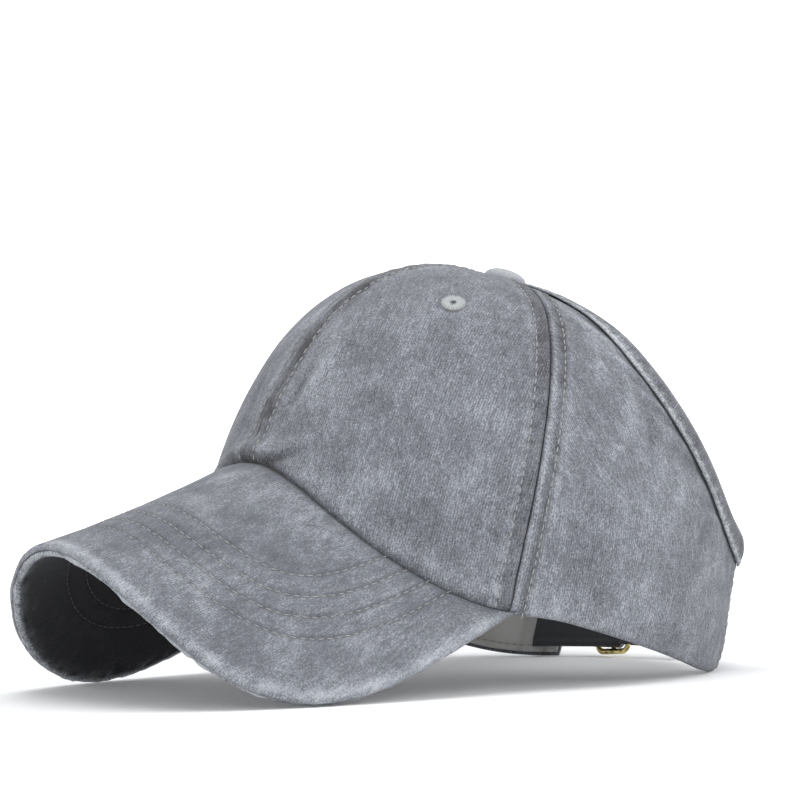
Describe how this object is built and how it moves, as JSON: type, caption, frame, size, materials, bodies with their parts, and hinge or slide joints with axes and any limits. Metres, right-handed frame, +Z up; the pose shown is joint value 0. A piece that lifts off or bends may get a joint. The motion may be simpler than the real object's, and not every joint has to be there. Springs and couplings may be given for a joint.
{
  "type": "ponytail baseball cap",
  "caption": "Soft washed-cotton baseball cap with an arched peak, panelled crown, covered button, bound ponytail opening at the back, and a strap with a wire buckle.",
  "frame": {"origin": "middle of the cap's outline, on the surface that it rests on", "axes": "+Z up, the peak points to -Y, +X is the wearer's left; the cap lies on the lobes of its peak and the ends of its back arms"},
  "size_m": [0.1618, 0.2438, 0.1356],
  "materials": {
    "crown_cloth": "washed cotton twill, matte, mottled grey",
    "binding_tape": "washed cotton tape, matte",
    "pale_thread": "worn cloth cover and dense thread, matte",
    "under_cloth": "dark cotton twill, matte",
    "facing_cloth": "pale plain cotton, matte",
    "brass": "antique brass, satin with dark hollows"
  },
  "bodies": {
    "root": {"front_panel_left": "crown_cloth", "front_panel_right": "crown_cloth", "side_panel_left": "crown_cloth", "side_panel_right": "crown_cloth", "opening_binding_left": "binding_tape", "opening_binding_right": "binding_tape", "button": "pale_thread", "eyelet_left": "pale_thread", "eyelet_right": "pale_thread", "peak_upper_cover": "crown_cloth", "peak_under_cover": "under_cloth", "arm_facing_left": "facing_cloth", "arm_facing_right": "facing_cloth", "strap": "crown_cloth", "buckle_tab": "crown_cloth", "buckle": "brass"}
  },
  "joints": []
}
